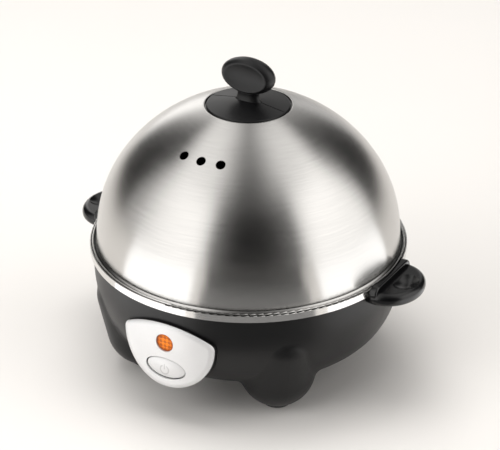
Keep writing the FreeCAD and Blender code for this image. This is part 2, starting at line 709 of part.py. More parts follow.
# ---------------------------------------------------------------- mains side
def cord_bushing():
    face_y = BODY_R + INLET_BOSS_PROUD
    sleeve = rod(INLET_BORE_R, Vec(0, face_y - BUSHING_LEN, INLET_Z), BACK, BUSHING_LEN)
    flange = rod(BUSHING_FLANGE_R, Vec(0, face_y, INLET_Z), BACK, BUSHING_FLANGE_T)
    bore = rod(BUSHING_BORE_R, Vec(0, face_y - BUSHING_LEN, INLET_Z), BACK, BUSHING_LEN + BUSHING_FLANGE_T)
    return sleeve.fuse(flange).cut(bore)


def terminal_block():
    low = FLOOR_IN_Z + BLOCK_PEDESTAL_H
    depth = (BLOCK_Y - BLOCK_D / 2, BLOCK_Y + BLOCK_D / 2)
    body = block((-BLOCK_W / 2, BLOCK_W / 2), depth, (low, low + BLOCK_H))
    cuts = []
    pitch = BLOCK_W / BLOCK_POLES
    for pole in range(BLOCK_POLES):
        x = -BLOCK_W / 2 + (pole + 0.5) * pitch
        cuts.append(rod(BLOCK_WIRE_R, Vec(x, depth[0], low + BLOCK_WIRE_H), BACK, BLOCK_D))
        cuts.append(rod(BLOCK_SCREW_R, Vec(x, BLOCK_Y, low + BLOCK_H / 2), UP, BLOCK_H))
    return body.cut(fused(cuts))


# ---------------------------------------------------------------- control panel
def oval(half_w, half_h, start_y, end_y, z):
    """Elliptical prism along Y."""
    edge = Part.Ellipse(Vec(half_w, start_y, z), Vec(0, start_y, z + half_h), Vec(0, start_y, z)).toShape()
    return Part.Face(Part.Wire(edge)).extrude(Vec(0, end_y - start_y, 0))


def panel_posts():
    x = PANEL_HALF_W - PANEL_POST_EDGE
    return [Vec(side * x, 0, BUTTON_Z + PANEL_POST_RISE) for side in (-1, 1)]


def with_round_face(shape, face_r, radius):
    """Round the edges whose middle lies on the upright cylinder of the given face radius."""
    edges = []
    for edge in shape.Edges:
        middle = edge.valueAt((edge.FirstParameter + edge.LastParameter) / 2)
        if abs(math.hypot(middle.x, middle.y) - face_r) < NEAR:
            edges.append(edge)
    return shape.makeFillet(radius, edges)


def control_panel():
    plate = panel_prism(0, FAR_R).common(post(PANEL_FACE_R, 0, BOWL_TOP_Z))
    plate = plate.cut(post(PANEL_BACK_R, 0, BOWL_TOP_Z))
    plate = with_round_face(plate, PANEL_FACE_R, PANEL_ROUND)
    bracket_front = BRACKET_Y - BRACKET_T
    posts = []
    bores = []
    for at in panel_posts():
        back_y = -math.sqrt(PANEL_BACK_R ** 2 - (abs(at.x) - PANEL_POST_R) ** 2)
        start = Vec(at.x, back_y, at.z)
        posts.append(rod(PANEL_POST_R, start, BACK, bracket_front - back_y))
        bores.append(rod(COVER_SCREW_R, Vec(at.x, back_y + CUT_OVER, at.z), BACK, bracket_front - back_y))
    holes = [
        rod(LENS_R, Vec(0, -FAR_R, LENS_Z), BACK, FAR_R / 2),
        oval(BUTTON_HALF_W + BUTTON_GAP, BUTTON_HALF_H + BUTTON_GAP, -FAR_R, -FAR_R / 2, BUTTON_Z),
    ]
    return plate.fuse(fused(posts)).cut(fused(holes + bores))


def lamp_lens():
    """Amber lens: a domed plug behind the panel's hole, on a flange against the panel's back."""
    face = -PANEL_FACE_R + LENS_RECESS
    plug = rod(LENS_R - PANEL_FIT, Vec(0, face, LENS_Z), BACK, PANEL_T + LENS_FLANGE_T)
    flange_y = -math.sqrt(PANEL_BACK_R ** 2 - (LENS_R + LENS_FLANGE_W) ** 2) + PANEL_FIT
    flange = rod(LENS_R + LENS_FLANGE_W, Vec(0, flange_y, LENS_Z), BACK, LENS_FLANGE_T)
    pocket = rod(LAMP_R + PLUNGER_FIT, Vec(0, face + LENS_FACE_T, LENS_Z), BACK, LENS_LEN)
    return plug.fuse(flange).cut(pocket)


def lamp():
    face = -PANEL_FACE_R + LENS_RECESS
    start = Vec(0, face + LENS_FACE_T + LAMP_GAP + LAMP_R, LENS_Z)
    glass = rod(LAMP_R, start, BACK, LAMP_LEN - LAMP_R).fuse(Part.makeSphere(LAMP_R, start))
    leads = [
        rod(FUSE_LEAD_R, Vec(x, start.y + LAMP_LEN - LAMP_R, LENS_Z), BACK, FUSE_LEAD_LEN)
        for x in (-LAMP_R / 2, LAMP_R / 2)
    ]
    return fused([glass] + leads)


def control_bracket():
    plate = Part.Face(panel_outline(-BRACKET_INSET, BRACKET_Y - BRACKET_T)).extrude(Vec(0, BRACKET_T, 0))
    front = Vec(0, BRACKET_Y - BRACKET_T, 0)
    cuts = [
        rod(PLUNGER_R + BRACKET_HOLE_FIT, front + UP * BUTTON_Z, BACK, BRACKET_T),
        rod(LAMP_R, front + UP * LENS_Z, BACK, BRACKET_T),
    ]
    cuts += [rod(COVER_SCREW_R + SHANK_FIT, front + at, BACK, BRACKET_T) for at in panel_posts()]
    return plate.cut(fused(cuts))


def bracket_screws():
    screws = []
    for at in panel_posts():
        here = at + BACK * BRACKET_Y
        head = rod(COVER_HEAD_R, here, BACK, COVER_HEAD_H)
        shank = rod(COVER_SCREW_R, here, -BACK, BRACKET_T + BRACKET_SCREW_BITE)
        slot = rod(COVER_SCREW_R * RECESS_SHARE, here + BACK * COVER_HEAD_H / 2, BACK, COVER_HEAD_H)
        screws.append(head.fuse(shank).cut(slot))
    return Part.makeCompound(screws)


def power_switch():
    front = BRACKET_Y
    high = (BUTTON_Z - SWITCH_H / 2, BUTTON_Z + SWITCH_H / 2)
    body = block((-SWITCH_W / 2, SWITCH_W / 2), (front, front + SWITCH_LEN), high)
    depth = PLUNGER_REACH + BUTTON_TRAVEL + 2 * PLUNGER_FIT
    pocket = rod(PLUNGER_R + PLUNGER_FIT, Vec(0, front, BUTTON_Z), BACK, depth)
    blades = [
        block(
            (x - BLADE_T / 2, x + BLADE_T / 2),
            (front + SWITCH_LEN, front + SWITCH_LEN + BLADE_LEN),
            (BUTTON_Z - BLADE_W / 2, BUTTON_Z + BLADE_W / 2),
        )
        for x in (-SWITCH_W / 4, SWITCH_W / 4)
    ]
    return fused([body] + blades).cut(pocket)


def power_button():
    face_r = PANEL_FACE_R - BUTTON_RECESS
    back = BUTTON_FLANGE_Y + BUTTON_FLANGE_T
    cap = oval(BUTTON_HALF_W, BUTTON_HALF_H, -FAR_R, back, BUTTON_Z)
    flange = oval(
        BUTTON_HALF_W + BUTTON_FLANGE_W, BUTTON_HALF_H + BUTTON_FLANGE_W, BUTTON_FLANGE_Y, back, BUTTON_Z
    )
    cap = cap.common(post(face_r, 0, BOWL_TOP_Z))
    cap = with_round_face(cap, face_r, BUTTON_ROUND)
    return cap.fuse(flange)


def switch_plunger():
    back = BUTTON_FLANGE_Y + BUTTON_FLANGE_T
    length = BRACKET_Y + PLUNGER_REACH - back
    return rod(PLUNGER_R, Vec(0, back, BUTTON_Z), BACK, length)


# ---------------------------------------------------------------- side grips
def side_grip(side):
    """Pad against the bowl and the band, with a rounded ear that has a thumb hollow on top."""
    top_z = BOWL_TOP_Z + GRIP_PAD_HIGH
    pad = block(
        (BODY_R - GRIP_ROOT, BAND_R + GRIP_PAD_T),
        (-GRIP_PAD_HALF_W, GRIP_PAD_HALF_W),
        (BOWL_TOP_Z - GRIP_PAD_LOW, top_z),
    )
    front_x = BAND_R + GRIP_PAD_T - NEAR
    pad = rounded(pad, GRIP_PAD_SHOULDER, lambda box: at_height(box, top_z) and box.YLength < NEAR)
    pad = rounded(pad, GRIP_PAD_ROUND, lambda box: box.XMin > front_x)
    low = BOWL_TOP_Z - EAR_LOW
    high = BOWL_TOP_Z + EAR_HIGH
    ear = rounded(post(EAR_REACH, low, high), EAR_ROUND, lambda box: box.ZLength < NEAR)
    ear = stretched(ear, EAR_HALF_W / EAR_REACH, BACK)
    ear.translate(Vec(BAND_R, 0, 0))
    hollow_r = (THUMB_HALF_LEN ** 2 + THUMB_DEPTH ** 2) / (2 * THUMB_DEPTH)
    hollow = stretched(Part.makeSphere(hollow_r), THUMB_HALF_W / THUMB_HALF_LEN, BACK)
    hollow.translate(Vec(BAND_R + THUMB_INSET, 0, high + hollow_r - THUMB_DEPTH))
    wall_x = BAND_R + THUMB_WALL
    hollow = hollow.common(block((wall_x, wall_x + CUT_REACH), (-BODY_R, BODY_R), (0, 2 * BOWL_TOP_Z)))
    grip = pad.fuse(ear.cut(hollow))
    grip = grip.cut(post(BODY_R, 0, 2 * BOWL_TOP_Z).fuse(post(BAND_R, BOWL_TOP_Z, 2 * BOWL_TOP_Z)))
    screw_z = BOWL_TOP_Z - GRIP_SCREW_DROP
    bores = [
        rod(GRIP_SCREW_R, Vec(BODY_R / 2, y, screw_z), ACROSS, BODY_R / 2 - BOWL_WALL + GRIP_SCREW_BITE)
        for y in (-GRIP_SCREW_Y, GRIP_SCREW_Y)
    ]
    grip = grip.cut(fused(bores))
    return grip if side > 0 else grip.mirror(Vec(0, 0, 0), ACROSS)


def grip_screws():
    z = BOWL_TOP_Z - GRIP_SCREW_DROP
    screws = []
    for side, y in grip_screw_spots():
        wall_x = math.sqrt((BODY_R - BOWL_WALL) ** 2 - (GRIP_SCREW_Y + GRIP_SCREW_HEAD_R) ** 2)
        seat = Vec(side * wall_x, y, z)
        reach = BODY_R - BOWL_WALL + GRIP_SCREW_BITE - wall_x
        shank = rod(GRIP_SCREW_R, seat, ACROSS * side, reach)
        head = rod(GRIP_SCREW_HEAD_R, seat, ACROSS * -side, GRIP_SCREW_HEAD_H)
        screws.append(head.fuse(shank))
    return Part.makeCompound(screws)


# ---------------------------------------------------------------- lid
def dome_point(height, inset=0.0):
    """A point of the dome's outline, (radius, height over the seam), moved in along the normal."""
    def radius(h):
        return LID_R * (1 - (max(h, 0.0) / DOME_H) ** DOME_P) ** (1 / DOME_Q)

    step = 0.01
    slope = (radius(height + step) - radius(height - step)) / (2 * step) if height > step else 0.0
    length = math.hypot(1, slope)
    return (radius(height) - inset / length, height + inset * slope / length)


def dome_edge(inset, end_height, upward):
    """Spline along the dome's outline, from the seam to the knob's seat or back."""
    spans = 10
    heights = [end_height * math.sin(math.radians(90 * i / spans)) for i in range(spans + 1)]
    points = [dome_point(h, inset) for h in heights]
    if not upward:
        points.reverse()
    spline = Part.BSplineCurve()
    spline.interpolate([Vec(r, 0, SEAM_Z + h) for r, h in points])
    return spline.toShape()


def seat_edge_height():
    """Height over the seam at which the dome meets the knob seat's edge."""
    share = (SEAT_EDGE_R + CROWN_STEP) / LID_R
    return DOME_H * (1 - share ** DOME_Q) ** (1 / DOME_P)


CROWN_H = seat_edge_height()
CROWN_Z = SEAM_Z + CROWN_H - CROWN_STEP


def lid_dome():
    inner_start = dome_point(CROWN_H, LID_T)
    hem_top = HEM_Z + HEM_H
    shell = turned(
        (HEM_R, HEM_Z),
        (HEM_R, hem_top),
        (LID_R, SEAM_Z),
        dome_edge(0, CROWN_H, True),
        (SEAT_EDGE_R, CROWN_Z),
        (0, CROWN_Z),
        (0, CROWN_Z - LID_T),
        (SEAT_EDGE_R - LID_T / 4, CROWN_Z - LID_T),
        (inner_start[0], SEAM_Z + inner_start[1]),
        dome_edge(LID_T, CROWN_H, False),
        (HEM_R - LID_T, hem_top),
        (HEM_R - LID_T, HEM_Z),
    )
    cuts = [post(KNOB_SCREW_R + SHANK_FIT, CROWN_Z - 2 * LID_T, CROWN_Z + LID_T)]
    for index in range(VENT_COUNT):
        degrees = -90 + VENT_STEP_DEG * (index - (VENT_COUNT - 1) / 2)
        radius, height = dome_point(VENT_H)
        inner_radius, inner_height = dome_point(VENT_H, LID_T)
        inside = polar(inner_radius, degrees, SEAM_Z + inner_height)
        outside = polar(radius, degrees, SEAM_Z + height)
        normal = (outside - inside).normalize()
        cuts.append(rod(VENT_R, inside - normal * CUT_OVER, normal, LID_T + 2 * CUT_OVER))
    return shell.cut(fused(cuts))


def knob_skirt():
    skirt = turned(
        (0, CROWN_Z),
        (SKIRT_R, CROWN_Z),
        (SKIRT_R, CROWN_Z + SKIRT_EDGE_H),
        (0, CROWN_Z + SKIRT_RISE),
    )
    edge_z = CROWN_Z + SKIRT_EDGE_H
    skirt = rounded(skirt, SKIRT_EDGE_H / 2, lambda box: at_height(box, edge_z))
    half_line = SKIRT_LINE_W / 2
    line = block((-SKIRT_R, SKIRT_R), (-half_line, half_line), (edge_z, CROWN_Z + SKIRT_RISE))
    return skirt.cut(line.cut(skirt.translated(Vec(0, 0, -SKIRT_LINE_DEPTH))))


def knob_neck():
    """Neck of oval section: it stands in the skirt, flares at its foot and ends inside the grip."""
    foot_share = NECK_FLARE_R * NECK_STRETCH / SKIRT_R
    foot_z = CROWN_Z + SKIRT_RISE - (SKIRT_RISE - SKIRT_EDGE_H) * foot_share
    top_z = CROWN_Z + NECK_TOP_H
    waist_z = foot_z + (top_z - foot_z) * NECK_WAIST_SHARE
    flare = (
        NECK_R + (NECK_FLARE_R - NECK_R) * (1 - math.sqrt(0.5)),
        waist_z - (waist_z - foot_z) * math.sqrt(0.5),
    )
    neck = turned(
        (0, CROWN_Z + SKIRT_EDGE_H / 2),
        (NECK_FLARE_R, CROWN_Z + SKIRT_EDGE_H / 2),
        (NECK_FLARE_R, foot_z),
        (flare, (NECK_R, waist_z)),
        (NECK_R, top_z),
        (0, top_z),
    )
    return stretched(neck, NECK_STRETCH, ACROSS)


def knob_disc():
    """The oval finger grip: a round rim with a shallow dish in each face."""
    dish_y = GRIP_HALF_T - GRIP_DISH
    dish_mid = (GRIP_CREST_R / 2, dish_y + GRIP_DISH / 4)
    disc = turned(
        (0, dish_y),
        (dish_mid, (GRIP_CREST_R, GRIP_HALF_T)),
        ((GRIP_R, 0), (GRIP_CREST_R, -GRIP_HALF_T)),
        ((dish_mid[0], -dish_mid[1]), (0, -dish_y)),
    )
    for crest_z in (-GRIP_HALF_T, GRIP_HALF_T):
        disc = rounded(disc, GRIP_CREST_ROUND, lambda box: at_height(box, crest_z))
    disc.rotate(Vec(0, 0, 0), ACROSS, 90)
    disc = stretched(disc, GRIP_STRETCH, ACROSS)
    disc.translate(Vec(0, 0, CROWN_Z + GRIP_H))
    return disc


def knob():
    body = knob_skirt().fuse(knob_neck()).fuse(knob_disc())
    seal = post(KNOB_SEAL_R, CROWN_Z, CROWN_Z + KNOB_SEAL_T)
    bore = post(KNOB_SCREW_R, CROWN_Z, CROWN_Z + KNOB_SEAL_T + KNOB_SCREW_BITE)
    return body.cut(seal.fuse(bore))


def knob_seal():
    return post(KNOB_SEAL_R, CROWN_Z, CROWN_Z + KNOB_SEAL_T).cut(
        post(KNOB_SCREW_R + SHANK_FIT, CROWN_Z, CROWN_Z + KNOB_SEAL_T)
    )


def knob_washer():
    top = CROWN_Z - LID_T
    return post(KNOB_WASHER_R, top - KNOB_WASHER_T, top).cut(
        post(KNOB_SCREW_R + SHANK_FIT, top - KNOB_WASHER_T, top)
    )


def knob_screw():
    seat = CROWN_Z - LID_T - KNOB_WASHER_T
    head = post(KNOB_HEAD_R, seat - KNOB_HEAD_H, seat)
    head = rounded(head, KNOB_HEAD_H / 2, lambda box: box.ZMax < seat - KNOB_HEAD_H + NEAR)
    slot = block(
        (-KNOB_HEAD_R, KNOB_HEAD_R),
        (-KNOB_SLOT_W / 2, KNOB_SLOT_W / 2),
        (seat - KNOB_HEAD_H, seat - KNOB_HEAD_H / 2),
    )
    return head.cut(slot).fuse(post(KNOB_SCREW_R, seat, CROWN_Z + KNOB_SEAL_T + KNOB_SCREW_BITE))


# ---------------------------------------------------------------- egg tray
def egg_tray():
    top = TRAY_Z + TRAY_T
    plate = rounded(post(TRAY_R, TRAY_Z, top), TRAY_T / 3, lambda box: box.ZLength < NEAR)
    skirt_r = WELL_TOP_R - TRAY_WELL_FIT
    skirt_low = TRAY_Z - TRAY_SKIRT_H
    lean = PAN_SLOPE_W / PAN_DEPTH * (TRAY_Z - skirt_low)
    skirt = turned(
        (skirt_r, TRAY_Z),
        (skirt_r - lean, skirt_low),
        (skirt_r - lean - TRAY_SKIRT_T, skirt_low),
        (skirt_r - TRAY_SKIRT_T, TRAY_Z),
    )
    seats = [Vec(0, 0, 0)] + [polar(SEAT_PITCH_R, 30 + 360 / SEAT_COUNT * i) for i in range(SEAT_COUNT)]
    collars = [post(SEAT_R + COLLAR_T, TRAY_Z, top + COLLAR_H, at) for at in seats]
    holes = [post(SEAT_R, 0, top + COLLAR_H, at) for at in seats]
    tab_x = TRAY_R - TAB_INSET
    tabs = []
    for side in (-1, 1):
        tab = block((tab_x - TAB_T, tab_x), (-TAB_W / 2, TAB_W / 2), (TRAY_Z, top + TAB_H))
        tab = rounded(tab, TAB_ROUND, lambda box: at_height(box, top + TAB_H) and box.YLength < NEAR)
        tabs.append(tab if side > 0 else tab.mirror(Vec(0, 0, 0), ACROSS))
    return fused([plate, skirt] + collars + tabs).cut(fused(holes))


def main():
    os.makedirs("parts", exist_ok=True)
    save("base_housing", base_housing())
    pad_names = ("rear_right", "rear_left", "front_left", "front_right")
    for degrees, where in zip(LOBE_ANGLES, pad_names):
        save(f"foot_pad_{where}", foot_pad(degrees))
    save("bottom_cover", bottom_cover())
    save("cover_screws", cover_screws())
    save("trim_band", trim_band())
    save("pan_seal", pan_seal())
    save("water_pan", water_pan())
    save("pan_screws", pan_screws())
    save("heating_element", heating_element())
    save("element_clamp_plate", clamp_plate())
    save("thermostat", thermostat())
    save("thermostat_strap", thermostat_strap())
    save("clamp_nuts", clamp_nuts())
    save("thermal_fuse", thermal_fuse())
    save("fuse_clip", fuse_clip())
    save("cord_bushing", cord_bushing())
    save("terminal_block", terminal_block())
    save("control_panel", control_panel())
    save("lamp_lens", lamp_lens())
    save("neon_lamp", lamp())
    save("control_bracket", control_bracket())
    save("bracket_screws", bracket_screws())
    save("power_switch", power_switch())
    save("power_button", power_button())
    save("switch_plunger", switch_plunger())
    save("handle_left", side_grip(-1))
    save("handle_right", side_grip(1))
    save("handle_screws", grip_screws())
    save("lid_dome", lid_dome())
    save("lid_knob", knob())
    save("knob_seal", knob_seal())
    save("knob_washer", knob_washer())
    save("knob_screw", knob_screw())
    save("egg_tray", egg_tray())


main()
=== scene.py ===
import json
import math

import bmesh
import bpy
import numpy as np
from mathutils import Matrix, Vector


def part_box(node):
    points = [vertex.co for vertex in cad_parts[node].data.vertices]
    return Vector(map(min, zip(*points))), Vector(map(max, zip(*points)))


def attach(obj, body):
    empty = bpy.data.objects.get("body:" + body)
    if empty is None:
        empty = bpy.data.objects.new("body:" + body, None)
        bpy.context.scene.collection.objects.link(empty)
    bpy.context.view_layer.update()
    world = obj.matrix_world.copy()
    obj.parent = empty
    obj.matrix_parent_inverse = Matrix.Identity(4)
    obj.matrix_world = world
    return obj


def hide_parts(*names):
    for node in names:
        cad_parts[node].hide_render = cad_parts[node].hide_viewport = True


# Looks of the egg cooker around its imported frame.  Metres; +Z is up and the control panel faces -Y.

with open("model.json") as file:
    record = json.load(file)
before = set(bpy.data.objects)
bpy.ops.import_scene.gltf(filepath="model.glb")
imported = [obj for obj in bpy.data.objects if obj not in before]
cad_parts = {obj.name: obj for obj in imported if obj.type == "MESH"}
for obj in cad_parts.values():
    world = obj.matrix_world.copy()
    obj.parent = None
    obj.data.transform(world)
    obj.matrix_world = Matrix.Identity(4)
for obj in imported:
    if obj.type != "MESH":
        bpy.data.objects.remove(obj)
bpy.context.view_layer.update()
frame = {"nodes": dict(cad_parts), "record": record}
NODES = frame["nodes"]
MM = 0.001


def low(node):
    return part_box(node)[0]


def high(node):
    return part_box(node)[1]


# ---------------------------------------------------------------- places from the frame
HEM_R = high("lid_dome").x
HEM_Z = low("lid_dome").z
SEAM_Z = high("water_pan").z
CROWN_Z = low("knob_seal").z
SKIRT_R = high("lid_knob").x
PANEL_FACE_R = -low("control_panel").y
PANEL_HALF_W = high("control_panel").x
PANEL_LOW_Z = low("control_panel").z
PANEL_TOP_Z = high("control_panel").z
PANEL_CROWN_R = 48.0 * MM
LENS_Z = (low("lamp_lens").z + high("lamp_lens").z) / 2
LENS_R = 5.2 * MM
BUTTON_Z = (low("power_button").z + high("power_button").z) / 2
BUTTON_HALF_W = 11.65 * MM
BUTTON_HALF_H = 5.8 * MM

# Dome, as in the frame: r = LID_R * (1 - (h / DOME_H) ** DOME_P) ** (1 / DOME_Q), h over the seam.
DOME_H = 83.0 * MM
DOME_P = 2.18
DOME_Q = 1.70
LID_T = 0.8 * MM
HEM_PROUD = 0.9 * MM
HEM_H = 1.2 * MM
LID_R = HEM_R - HEM_PROUD
HEM_TOP_Z = HEM_Z + HEM_H
SEAT_GAP = 0.8 * MM              # between the knob's skirt and the step down to its seat
SEAT_EDGE_R = SKIRT_R + SEAT_GAP
SEAT_STEP = 1.0 * MM
SEAT_ROUND = 0.45 * MM
SEAT_SINK = 0.9 * SEAT_ROUND
SEAT_FOOT = 0.4 * SEAT_ROUND
SCREW_HOLE_R = 2.1 * MM
VENT_R = 2.6 * MM
VENT_H = 65.4 * MM
VENT_DEGREES = (-103.0, -90.0, -77.0)
VENT_TOOL_LENGTH = 6.0 * MM
VENT_SEGMENTS = 48
DOME_SEGMENTS = 256
OUTER_STEPS = 110
INNER_STEPS = 60
SHARP_ANGLE = math.radians(40.0)
SHADE_MARGIN = 1.0 * MM          # the dome's true normals start this far inside its two edges
FACE_AGREES = 0.9                # a face belongs to the dome's skin when its normal is this near

# Finer forms of the front, drawn by the materials.
PANEL_BEVEL_W = 2.8 * MM
PANEL_BEVEL_H = 0.8 * MM
PANEL_SOFT_CORNER = 3.0 * MM
PANEL_LACQUER_DEPTH = 1.1 * MM   # the silver ends this far behind the face
PANEL_LACQUER_FADE = 0.1 * MM
BUTTON_CROWN_H = 1.4 * MM
SYMBOL_X = -0.6 * MM
SYMBOL_RISE = -1.4 * MM          # from the button's centre
SYMBOL_R = 2.5 * MM
SYMBOL_LINE = 0.75 * MM
SYMBOL_GAP = 1.0 * MM
SYMBOL_STROKE = (0.1 * SYMBOL_R, 1.35 * SYMBOL_R)
LENS_FACET = 2.4 * MM
LENS_FACET_DEPTH = 0.12 * MM
# radii over which the lens is painted darker towards its rim, a painted shade
LENS_RIM_SHADE = (0.45 * LENS_R, 0.95 * LENS_R)
GAP_SHADE_REACH = 3.0 * MM         # painted shade: gaps between metal parts are painted dark within this reach


# ---------------------------------------------------------------- node helpers
class Nodes:
    """Short way to make and join the shader nodes of one material or world."""

    def __init__(self, owner):
        owner.use_nodes = True
        self.owner = owner
        self.tree = owner.node_tree
        self.shader = self.tree.nodes.get("Principled BSDF")

    def add(self, kind, **settings):
        node = self.tree.nodes.new("ShaderNode" + kind)
        for key, value in settings.items():
            setattr(node, key, value)
        return node

    def feed(self, socket, value):
        """An output is joined to the socket; a number or a color is set on it."""
        if isinstance(value, bpy.types.NodeSocket):
            self.tree.links.new(value, socket)
        elif isinstance(value, tuple):
            socket.default_value = (*value, 1.0)
        else:
            socket.default_value = value

    def put(self, node, **values):
        for key, value in values.items():
            node.inputs[key.replace("_", " ")].default_value = value

    def shade(self, name, value):
        self.feed(self.shader.inputs[name], value)

    def math(self, operation, first, second=0.0):
        node = self.add("Math", operation=operation)
        self.feed(node.inputs[0], first)
        self.feed(node.inputs[1], second)
        return node.outputs[0]

    def position(self):
        return self.add("TexCoord").outputs["Object"]

    def axes(self):
        """The place's x, y and z."""
        split = self.add("SeparateXYZ")
        self.feed(split.inputs[0], self.position())
        return [split.outputs[axis] for axis in "XYZ"]

    def length(self, first, second):
        squares = [self.math("MULTIPLY", value, value) for value in (first, second)]
        return self.math("SQRT", self.math("ADD", *squares))

    def noise(self, vector, scale, detail=3.0, roughness=0.5, w=None):
        """Noise of so many cycles per metre; w is a fourth direction."""
        node = self.add("TexNoise", noise_dimensions="3D" if w is None else "4D")
        self.put(node, Scale=scale, Detail=detail, Roughness=roughness)
        self.feed(node.inputs["Vector"], vector)
        if w is not None:
            self.feed(node.inputs["W"], w)
        return node.outputs[0]

    def spread(self, value, lowest, highest, start=0.3, end=0.7, kind="LINEAR"):
        """The value, moved from start..end to lowest..highest."""
        node = self.add("MapRange", interpolation_type=kind)
        self.put(node, From_Min=start, From_Max=end, To_Min=lowest, To_Max=highest)
        self.feed(node.inputs["Value"], value)
        return node.outputs["Result"]

    def mix(self, factor, first, second, blend_type="MIX"):
        """From the first color to the second, where the factor goes from 0 to 1."""
        node = self.add("Mix", data_type="RGBA", blend_type=blend_type)
        for name, value in (("Factor", factor), ("A", first), ("B", second)):
            self.feed(node.inputs[name], value)
        return node.outputs["Result"]

    def bump(self, height, distance, strength=1.0, after=None):
        node = self.add("Bump")
        self.put(node, Strength=strength, Distance=distance)
        self.feed(node.inputs["Height"], height)
        if after is not None:
            self.feed(node.inputs["Normal"], after)
        return node.outputs["Normal"]

    def finish(self, **values):
        self.put(self.shader, **values)
        return self.owner


def material_nodes(name):
    return Nodes(bpy.data.materials.new(name))


def edge_wear(n):
    """1 along convex edges, from the mesh's pointiness."""
    return n.spread(n.add("NewGeometry").outputs["Pointiness"], 0.0, 1.0, 0.52, 0.62)


def scaled(color, factor):
    return tuple(min(1.0, factor * c) for c in color)


# ---------------------------------------------------------------- materials
BRUSH_FINE = 5200.0              # streaks over a metre, across the brushing
BRUSH_COARSE = 900.0
BRUSH_DEPTH = 0.012 * MM
FLAKE_DEPTH = 0.012 * MM
# colour of the painted shade in gaps between metal parts
GAP_SHADE_COLOR = (0.03, 0.03, 0.03)
BARE_BLACK = (0.012, 0.012, 0.012)
SYMBOL_GREY = (0.25, 0.25, 0.25)
SYMBOL_STRENGTH = 0.3
WORN_LIFT = 0.12                 # how much lighter a fully rubbed edge is


def circular_brushing(n):
    """Streaks that run around the Z axis: noise that is stretched along the circle."""
    x, y, z = n.axes()
    flat = n.add("CombineXYZ")
    n.feed(flat.inputs["X"], x)
    n.feed(flat.inputs["Y"], y)
    unit = n.add("VectorMath", operation="NORMALIZE")
    n.feed(unit.inputs[0], flat.outputs[0])
    along = n.math("SUBTRACT", z, n.length(x, y))

    def streaks(scale, detail, roughness, cycles):
        across = n.math("MULTIPLY", along, cycles / scale)
        return n.noise(unit.outputs[0], scale, detail, roughness, across)

    fine = streaks(5.0, 2.0, 0.5, BRUSH_FINE)
    coarse = streaks(2.5, 3.0, 0.6, BRUSH_COARSE)
    return n.math("ADD", n.math("MULTIPLY", fine, 0.6), n.math("MULTIPLY", coarse, 0.4))


def brushed_steel(name, roughness, color=(0.62, 0.61, 0.595)):
    n = material_nodes(name)
    streak = circular_brushing(n)
    tone = n.mix(n.spread(streak, 0.0, 1.0, 0.34, 0.66), scaled(color, 0.94), scaled(color, 1.06))
    # painted shade: ambient occlusion darkens the base colour in gaps and crevices between parts
    gap_shade = n.add("AmbientOcclusion", samples=8)
    n.put(gap_shade, Distance=GAP_SHADE_REACH)
    n.shade("Base Color", n.mix(n.spread(gap_shade.outputs["AO"], 1.0, 0.0, 0.36, 0.66), tone, GAP_SHADE_COLOR))
    n.shade("Roughness", n.spread(streak, roughness - 0.03, roughness + 0.03, 0.34, 0.66))
    n.shade("Normal", n.bump(streak, BRUSH_DEPTH, 0.25))
    n.shade("Tangent", n.add("Tangent", direction_type="RADIAL", axis="Z").outputs[0])
    return n.finish(Metallic=1.0, Anisotropic=0.88, Anisotropic_Rotation=0.25)


def moulded(name, color, roughness, grain=0.35 * MM, depth=0.02 * MM, coat=0.0, wear=0.25, specular=0.5):
    """Moulded plastic: fine grain, slow change of gloss, edges rubbed a little lighter."""
    n = material_nodes(name)
    place = n.position()
    fine = n.noise(place, 1.0 / grain, 2.0)
    slow = n.noise(place, 28.0, 4.0, 0.6)
    rubbed = n.math("MULTIPLY", edge_wear(n), n.spread(slow, 0.4, 1.0))
    tone = n.math("ADD", n.math("MULTIPLY", rubbed, wear), n.spread(fine, 0.0, 0.08))
    n.shade("Base Color", n.mix(tone, color, tuple(c + wear * WORN_LIFT for c in color)))
    gloss = n.spread(slow, roughness - 0.03, roughness + 0.04)
    n.shade("Roughness", n.math("ADD", gloss, n.spread(fine, -0.02, 0.02)))
    n.shade("Normal", n.bump(fine, depth, 0.6))
    return n.finish(IOR=1.5, Specular_IOR_Level=specular, Coat_Weight=coat, Coat_Roughness=0.12)


def plated(name, color, roughness):
    """Plated or plain metal of small inner parts: blotchy tone and fine scratches."""
    n = material_nodes(name)
    place = n.position()
    blotch = n.noise(place, 140.0, 5.0, 0.65)
    n.shade("Base Color", n.mix(n.spread(blotch, 0.0, 1.0), scaled(color, 0.78), color))
    n.shade("Roughness", n.spread(blotch, roughness + 0.08, roughness - 0.05))
    n.shade("Normal", n.bump(n.noise(place, 2600.0, 2.0), 0.02 * MM, 0.4))
    return n.finish(Metallic=1.0)


def rubber(name, color):
    """Matt rubber or silicone, dusty in patches."""
    n = material_nodes(name)
    place = n.position()
    dust = n.noise(place, 60.0, 4.0, 0.6)
    n.shade("Base Color", n.mix(n.spread(dust, 0.0, 0.7), color, scaled(color, 1.7)))
    n.shade("Roughness", n.spread(dust, 0.62, 0.78))
    n.shade("Normal", n.bump(n.noise(place, 1800.0, 3.0, 0.6), 0.05 * MM, 0.5))
    return n.finish(IOR=1.48)


def silver_tone(n):
    """Pale lacquer with fine flake: its tone, and its flake as height."""
    place = n.position()
    flake = n.noise(place, 5200.0, 2.0, 0.7)
    slow = n.noise(place, 45.0, 3.0, 0.5)
    tone = n.math("ADD", n.spread(flake, 0.0, 0.55), n.spread(slow, 0.0, 0.45))
    n.shade("Roughness", n.spread(flake, 0.36, 0.46))
    return n.mix(tone, (0.78, 0.78, 0.785), (0.88, 0.88, 0.885)), n.bump(flake, FLAKE_DEPTH, 0.35)


def lacquered(n, color, height, depth, flake):
    """The silver finish that the panel and the button share, with their own form as height."""
    n.shade("Base Color", color)
    n.shade("Normal", n.bump(height, depth, 1.0, flake))
    return n.finish(Metallic=0.2, Coat_Weight=0.3, Coat_Roughness=0.2)


